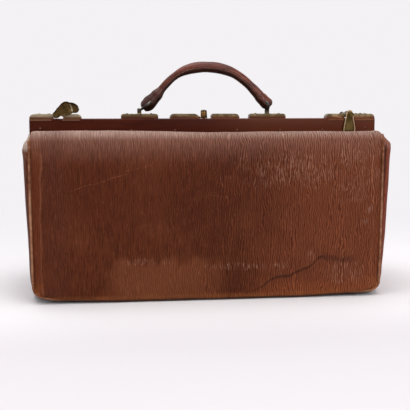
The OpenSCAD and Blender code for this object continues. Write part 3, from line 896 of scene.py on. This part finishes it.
def liningTub():
    look = liningShape
    bm = bmesh.new()
    bmesh.ops.create_grid(bm, x_segments=60, y_segments=28, size=1)
    for v in bm.verts:
        v.co = Vector((v.co.x * look["halfX"], v.co.y * look["halfY"], look["floor"]))
    for _ in range(look["rows"]):
        rim = [e for e in bm.edges if len(e.link_faces) == 1]
        step = (look["sides"] - look["floor"]) / look["rows"]
        bmesh.ops.translate(bm, verts=extruded(bm, rim), vec=(0, 0, step))
    tall = (look["sheets"] - look["floor"]) / (look["sides"] - look["floor"])
    for v in bm.verts:
        reach = smooth(abs(v.co.y), 0.086, 0.104)
        v.co.z = look["floor"] + (v.co.z - look["floor"]) * mix(1, tall, reach)
        wall = clamp((v.co.z - look["floor"]) / 0.03)
        sag = noise.noise((v.co.x * 14, v.co.y * 14, v.co.z * 9)) * look["sag"] * wall
        v.co.x -= math.copysign(abs(sag) * smooth(abs(v.co.x), 0.234, 0.238), v.co.x)
        v.co.y -= math.copysign(abs(sag) * smooth(abs(v.co.y), 0.102, 0.107), v.co.y)
        v.co.x *= 1 - 0.012 * smooth(v.co.z, 0.05, 0.0) * smooth(abs(v.co.y), 0.08, 0.107)
        endUp = baseShape["endsUp"] * smooth(abs(v.co.x), 0.205, 0.24) ** 1.5
        v.co.z += endUp * smooth(v.co.z, 0.04, 0.008)
        v.co.z += cornerLift(v.co.x, -1) * 0.7 * smooth(-v.co.y, 0.05, 0.1) * smooth(v.co.z, 0.05, 0.01)
        v.co = racked(v.co, 4 * mm)
    bmesh.ops.recalc_face_normals(bm, faces=bm.faces)
    bmesh.ops.solidify(bm, geom=bm.faces[:], thickness=look["thickness"])
    bmesh.ops.recalc_face_normals(bm, faces=bm.faces)
    return bm


lining = newPiece("cloth_lining", liningTub(), liningCloth, "bag_body", ["lining"])
print("base and lining ready")


# frames: leather-covered rails

railShape = {"edge": 1.7 * mm, "longer": 1.6 * mm}
for sideName in ("front", "rear"):
    bm = cadCopy(f"{sideName}_rail_cover", railShape["edge"], segments=4)
    lengthen(bm, railShape["longer"], 0.249)
    newPiece(f"{sideName}_rail_leather", bm, railLeather, f"{sideName}_frame",
             [f"{sideName}_rail_cover"])

plateShape = {"edge": 0.9 * mm, "domeEdge": 2.2 * mm, "cornersLonger": 1.4 * mm,
              "noseLonger": 1.8 * mm,
              # lock plates, whose ends beside the knob slope down to the rail
              "slopeCuts": (-14, -12, -10, -8, -6.5, 10.5, 12, 13.5),
              "slopes": (0.62, 0.3), "rightIn": 1.6 * mm,
              # thin lips folded over the front rail's face, from x to x in mm
              "lips": {"front_corner_plates": ((-254.6, -224.2), (224.2, 254.6)),
                       "front_nose_plates": ((-209.2, -183), (183, 211))},
              # depth, height, Y and Z of a lip's two parts, mm
              "lipParts": ((0.5, 3.2, -22.55, 249.0), (3.6, 0.5, -21.0, 250.35))}


def slopeLockPlates(bm):
    cutAcross(bm, plateShape["slopeCuts"])
    leftSlope, rightSlope = plateShape["slopes"]
    for v in bm.verts:
        if v.co.x < 0:
            fall = leftSlope * smooth(v.co.x, -0.0145, -0.005)
        else:
            fall = rightSlope * smooth(v.co.x, 0.0135, 0.009)
        v.co.z = 0.25 + (v.co.z - 0.25) * (1 - fall)
        if v.co.x > 0:
            v.co.x += plateShape["rightIn"] * smooth(v.co.x, 0.0165, 0.0095)


for node in ("front_corner_plates", "front_nose_plates", "rear_corner_plates", "handle_plates",
             "lock_plates"):
    bm = cadCopy(node, plateShape["domeEdge" if node == "lock_plates" else "edge"], segments=4)
    if node == "lock_plates":
        slopeLockPlates(bm)
    if node == "front_nose_plates":
        for v in bm.verts:
            if v.co.x > 0.2:
                v.co.x += plateShape["noseLonger"]
    if node.endswith("corner_plates"):
        lengthen(bm, plateShape["cornersLonger"], 0.246)
    for x0, x1 in plateShape["lips"].get(node, ()):
        for deep, high, y, z in plateShape["lipParts"]:
            addBox(bm, ((x0 + x1) / 2 * mm, y * mm, z * mm), ((x1 - x0) * mm, deep * mm, high * mm))
    body = "front_frame" if node.startswith("front") else "rear_frame"
    newPiece(node.replace("_plates", "_brass"), bm, plateBrass, body, [node])

# CAD nodes that are seen as they are
for material, names in ((plateBrass, ("front_plate_rivets", "rear_plate_rivets")),
                        (tackBronze, ("front_tacks", "rear_tacks")),
                        (leafBrass, ("left_catch_spindle", "right_catch_spindle")),
                        (darkSteel, ("front_rail", "front_left_leg", "front_right_leg", "rear_rail",
                                     "rear_left_leg", "rear_right_leg", "left_hinge_rivet",
                                     "right_hinge_rivet", "lock_striker", "lock_case", "lock_bolt"))):
    for name in names:
        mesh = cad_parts[name].data
        mesh.materials.clear()
        mesh.materials.append(material)

knobShape = {"edge": 0.5 * mm, "lower": 0.83, "footWider": (0.02, 0.14)}     # left and right
bm = cadCopy("lock_knob", knobShape["edge"])
for v in bm.verts:
    if v.co.z > 0.2502:
        foot = smooth(v.co.z, 0.2585, 0.2505)
        v.co.z = 0.25 + (v.co.z - 0.25) * knobShape["lower"]
        v.co.x *= 1 + foot * knobShape["footWider"][v.co.x > 0]
newPiece("lock_knob_brass", bm, knobBrass, "lock_slide", ["lock_knob"])
print("frames and fittings ready")


# catch leaves

leafShape = {
    "grid": (30, 80), "thickness": 1.3 * mm, "rim": 1.1 * mm, "groove": 1.1 * mm, "dish": 0.8 * mm,
    "pivot": (217.5 * mm, 256 * mm),
    # outline: half width by distance below the pivot; lean: how far the worn, bent middle line
    # stands off to the side; neck: where the lip's groove runs; crescent: painted highlight beside it
    "left": {
        "turn": 107.5, "shift": -0.6 * mm, "front": -26.1 * mm, "curl": 3.4 * mm,
        "neck": 22.6 * mm, "crescent": 0.0014,
        "outline": [(-3.4, 0.3), (-3.0, 1.7), (-1.8, 3.1), (1, 4.6), (4, 5.8), (9, 7.6), (13.5, 9.0),
                    (16, 9.5), (18.5, 9.4), (21, 8.6), (23, 7.7), (25.5, 7.7), (28, 7.2), (30, 6.0),
                    (31.4, 4.4), (32.3, 2.4), (32.6, 0.3)],
        "lean": [(-3.4, 0), (0, -0.9), (6, -2.9), (12, -4.5), (17, -4.9), (22, -3.9), (26, -2.3),
                 (30, -0.9), (32.6, -0.2)]},
    "right": {
        "turn": 0, "shift": -2.3 * mm, "front": -25.5 * mm, "curl": 4.5 * mm,
        "neck": 27.2 * mm, "crescent": 0,
        "outline": [(-5.2, 0.3), (-4.6, 2.4), (-3, 4.2), (0, 5.2), (5, 5.9), (11, 7.0), (17, 8.3),
                    (22, 8.9), (26, 8.5), (28.6, 7.6), (30.4, 7.5), (31.9, 6.6), (33.2, 4.6), (34, 0.3)],
        "lean": [(-5.2, 0), (34, 0)]}}


def tableAt(table, value):
    value = clamp(value, table[0][0], table[-1][0])
    return next(mix(a[1], b[1], (value - a[0]) / (b[0] - a[0]))
                for a, b in zip(table, table[1:]) if value <= b[0])


def leafMesh(sideName):
    look, leaf = leafShape, leafShape[sideName]
    outline = leaf["outline"]
    tip = outline[-1][0] * mm

    def place(u, w):
        down, half = alongPoints(outline, w)
        down, half = down * mm, max(half, 0.2) * mm
        s = math.sin((u - 0.5) * math.pi)
        rim = look["rim"] * max(smooth(abs(s), 0.74, 0.96), smooth(down, tip - 2 * mm, tip))
        groove = look["groove"] * hump(down - leaf["neck"] + 0.002 * s * s, 0.0018) * (1 - s * s)
        curl = leaf["curl"] * clamp((down - leaf["neck"] - 0.0013) / 0.0055) ** 1.3
        dish = look["dish"] * (1 - s * s) * smooth(down, -0.001, 0.014)
        middle = tableAt(leaf["lean"], down / mm) * mm
        return Vector((s * half + middle, leaf["front"] - rim * 0.7 - curl + dish + groove, -down))
    bm = gridSheet(*look["grid"], place)
    # painted highlight: the lit crescent on the left leaf's curled tip and the bright rims of the right
    # leaf, for the brass paint to read
    edge = bm.verts.layers.float.new("rim")
    for v in bm.verts:
        down = -v.co.z / mm
        half = abs(v.co.x / mm - tableAt(leaf["lean"], down))
        wide = tableAt(outline, down)
        if leaf["crescent"]:
            off = down * mm - leaf["neck"] - leaf["crescent"] + 0.002 * (half / wide) ** 2
            v[edge] = hump(off, 0.0009) * smooth(half, wide * 0.85, wide * 0.6)
        else:
            v[edge] = smooth(half, wide - 1.7, wide - 0.5)
    thicken(bm, look["thickness"], (0, -1, 0))
    bmesh.ops.rotate(bm, verts=bm.verts, cent=(0, 0, 0),
                     matrix=Matrix.Rotation(math.radians(leaf["turn"]), 3, "Y"))
    px, pz = look["pivot"]
    bmesh.ops.translate(bm, verts=bm.verts, vec=(px + leaf["shift"], 0, pz))
    if sideName == "left":
        bmesh.ops.scale(bm, vec=(-1, 1, 1), verts=bm.verts)
        bmesh.ops.recalc_face_normals(bm, faces=bm.faces)
    return bm


for sideName, material in (("left", turnedLeafBrass), ("right", leafBrass)):
    newPiece(f"{sideName}_leaf", leafMesh(sideName), material, f"{sideName}_catch",
             [f"{sideName}_catch_leaf"])
print("catches ready")


# rolled handle

gripShape = {
    "y": 11.1 * mm,
    "axisZ": 261.5 * mm,
    # middle line, across and up
    "line": [(-91.5, 263.6), (-88.5, 266.8), (-84.5, 270.4), (-78.5, 276), (-69, 286.4), (-57.5, 299.6),
             (-45.5, 311.0), (-33, 319.0), (-20, 323.8), (-6, 326.1), (8, 326.3), (22, 324.9),
             (39.5, 320.0), (52, 313.6), (64, 304.6), (76, 293.2), (85, 283.3), (91.5, 276.6),
             (96.2, 272.2), (100.8, 267.2)],
    # radius along the length
    "radii": [(0, 8.4), (0.06, 10.2), (0.12, 8.6), (0.18, 5.7), (0.3, 5.9), (0.42, 8.2), (0.58, 8.2),
              (0.7, 7.2), (0.8, 6.7), (0.87, 7.3), (0.93, 9.0), (1, 9.0)],
    "seam": 0.5 * mm, "wave": 0.45 * mm, "folds": 1.1 * mm,
    # kept clear of the eyes and, through the whole swing, of the plates below
    "eyeClear": 3.6 * mm, "swingClear": 3.9 * mm, "swing": 61,
    "rope": 4 * mm,
}


def gripLine(t):
    x, z = alongPoints(gripShape["line"], t)
    return Vector((x * mm, gripShape["y"], z * mm))


def gripRadius(t):
    stops = gripShape["radii"]
    r = next(mix(a[1], b[1], smooth(t, a[0], b[0])) for a, b in zip(stops, stops[1:]) if t <= b[0])
    cap = min(t / 0.03, (1 - t) / 0.03, 1)
    return r * mm * math.sqrt(max(1 - (1 - cap) ** 2, 0.02)) * (1 + 0.015 * math.sin(t * 60))


def gripRod(steps=180):
    look = gripShape
    bm = rod([gripLine(i / steps) for i in range(steps + 1)], gripRadius, sides=48)
    low = bm.verts.layers.float.new("low")
    bm.normal_update()
    for v in bm.verts:
        ends = smooth(abs(v.co.x), 0.070, 0.088)
        turn = math.atan2(-v.normal.z, -v.normal.y)          # 0 at the front, positive below
        v[low] = smooth(turn, -0.05, 0.45) * (v.normal.y < 0.2)
        groove = look["seam"] * hump(turn - 0.12, 0.1) * (1 - ends)
        wave = noise.noise(v.co * 45) * look["wave"]
        folds = noise.noise((v.co.x * 160, v.co.y * 320, v.co.z * 70)) * look["folds"] * ends
        v.co += v.normal * (wave + folds - groove)
    for v in bm.verts:
        y, z = v.co.y - look["y"], v.co.z - look["axisZ"]
        reach, angle = math.hypot(y, z), math.atan2(y, z)
        lowest = math.cos(math.radians(min(abs(math.degrees(angle)) + look["swing"], 180)))
        if abs(v.co.x) > 0.062 and reach * lowest < -look["swingClear"]:
            reach = look["swingClear"] / -lowest
        if abs(v.co.x) > 0.0905:
            reach = max(reach, look["eyeClear"])
        v.co.y = look["y"] + reach * math.sin(angle)
        v.co.z = look["axisZ"] + reach * math.cos(angle)
    return bm


newPiece("handle_leather", gripRod(), gripLeather, "handle",
         ["handle_grip", "handle_ends"])
bm = rod([gripLine(0.04 + 0.92 * i / 80) for i in range(81)], gripShape["rope"], sides=16)
newPiece("handle_rope", bm, liningCloth, "handle", ["handle_core"])

stitchShape = {"count": 96, "start": 0.3, "length": 0.56, "tilt": -10,
               "size": (0.8 * mm, 0.3 * mm, 0.3 * mm)}


def stitchRow():
    look = stitchShape
    bm = bmesh.new()
    a = math.radians(look["tilt"])
    for i in range(look["count"]):
        t = look["start"] + look["length"] * i / (look["count"] - 1)
        p, q = gripLine(t - 0.004), gripLine(t + 0.004)
        along = (q - p).normalized()
        side = Vector((0, -1, 0))
        up = side.cross(along).normalized()
        if up.z < 0:
            up = -up
        out = side * math.cos(a) + up * math.sin(a)
        spot = (p + q) / 2 + out * (gripRadius(t) + 0.05 * mm)
        bead = bmesh.ops.create_icosphere(bm, subdivisions=1, radius=1)["verts"]
        turn = Matrix((along, out, along.cross(out))).transposed().to_4x4()
        size = Matrix.Diagonal((*look["size"], 1))
        bmesh.ops.transform(bm, matrix=Matrix.Translation(spot) @ turn @ size, verts=bead)
    return bm


newPiece("handle_stitches", stitchRow(), handleThread, "handle")

# rings that join the handle's ends to the eyes
ringShape = {"steps": 64, "wire": 1.3 * mm, "thick": 2.4 * mm, "narrow": 3.2 * mm,
             "left": {"centre": (-87.4, 268.6), "reach": (10.2, 8.2), "wide": 12.2 * mm},
             "right": {"centre": (96.6, 268.4), "reach": (-2.0, 8.0), "wide": 11.4 * mm}}


def ringRadius(t):
    return mix(ringShape["wire"], ringShape["thick"], smooth(math.cos(2 * math.pi * t), -0.9, 0))


for sideName in ("left", "right"):
    ring = ringShape[sideName]
    (cx, cz), (lx, lz) = ring["centre"], ring["reach"]
    path = []
    for i in range(ringShape["steps"]):
        a = 2 * math.pi * i / ringShape["steps"]
        wide = mix(ringShape["narrow"], ring["wide"], smooth(math.cos(a), -1, 0.3))
        path.append(((cx + lx * math.cos(a)) * mm, gripShape["y"] + wide * math.sin(a),
                     (cz + lz * math.cos(a)) * mm))
    bm = rod(path, ringRadius, sides=12, closed=True, up=(lz, 0, -lx))
    newPiece(f"{sideName}_steel_ring", bm, darkSteel, "handle",
             [f"{sideName}_handle_loop"])
print("handle ready")


# floor, backdrop, lamps and camera

stageLook = {"floor": (213, 210, 213), "far": (236, 234, 236),
             "behind": (0.93, 0.91, 0.93), "ahead": (0.30, 0.28, 0.28),
             "seen": (0.905, 0.885, 0.905)}


def stagePaint():
    # pale floor that turns into the bright backdrop behind the bag
    p = Paint("paleFloor", roughness=0.9, specular=0.1)
    x, y, _ = p.xyz
    p.start(p.ramp(y, -0.34, -0.1, 0, 1), stageLook["floor"], stageLook["far"])
    glow = p.add("ShaderNodeEmission", (*stageLook["seen"], 1), 1.0)
    far = p.maths("SQRT", p.squares(x, y))
    lit = p.maths("MAXIMUM", p.ramp(y, -0.05, 0.9), p.ramp(far, 0.95, 1.8))
    both = p.add("ShaderNodeMixShader", lit, p.shader.outputs[0], glow.outputs[0])
    p.give(p.tree.nodes["Material Output"].inputs["Surface"], both.outputs[0])
    return p.finish()


bm = bmesh.new()
bmesh.ops.create_grid(bm, x_segments=2, y_segments=2, size=4)
floor = meshObject("floor", bm, stagePaint())

world = bpy.data.worlds.new("studio")
bpy.context.scene.world = world
world.use_nodes = True
sky = Nodes(world.node_tree)
room = sky.tree.nodes["Background"]
seen = sky.add("ShaderNodeBackground", (*stageLook["seen"], 1))
parts = sky.add("ShaderNodeSeparateXYZ", sky.add("ShaderNodeTexCoord").outputs["Generated"])
fade = sky.ramp(parts.outputs["Y"], -0.4, 0.5, soft=False)
tones = sky.blend(fade, (*stageLook["ahead"], 1), (*stageLook["behind"], 1))
sky.give(room.inputs["Color"], tones)
fromCamera = sky.add("ShaderNodeLightPath").outputs["Is Camera Ray"]
choose = sky.add("ShaderNodeMixShader", fromCamera, room.outputs[0], seen.outputs[0])
sky.give(sky.tree.nodes["World Output"].inputs["Surface"], choose.outputs[0])


def softBox(name, place, aim, size, power):
    lamp = bpy.data.lights.new(name, "AREA")
    lamp.shape = "RECTANGLE"
    lamp.size, lamp.size_y = size
    lamp.energy = power
    obj = placed(name, lamp)
    obj.location = place
    obj.rotation_euler = (Vector(aim) - Vector(place)).to_track_quat("-Z", "Y").to_euler()


softBox("overhead", (-0.1, -0.2, 1.9), (0, 0, 0.1), (1.8, 1.4), 26)
softBox("front_fill", (0.9, -2.0, 1.1), (0, 0, 0.12), (1.6, 1.2), 22)
softBox("left_fill", (-1.6, -1.4, 0.9), (0, 0, 0.15), (1.0, 1.0), 8)

cameraLook = {"place": (-0.1483, -1.2290, 0.2729), "turn": 6.91, "pitch": 7.05, "pixels": 824.4}
camera = bpy.data.cameras.new("camera")
camera.sensor_width = 36
camera.lens = cameraLook["pixels"] / 410 * 36
eye = placed("camera", camera)
eye.location = cameraLook["place"]
eye.rotation_euler = (math.radians(90 - cameraLook["pitch"]), 0, math.radians(-cameraLook["turn"]))
bpy.context.scene.camera = eye
bpy.context.scene.view_settings.view_transform = "Standard"
print("stage ready")
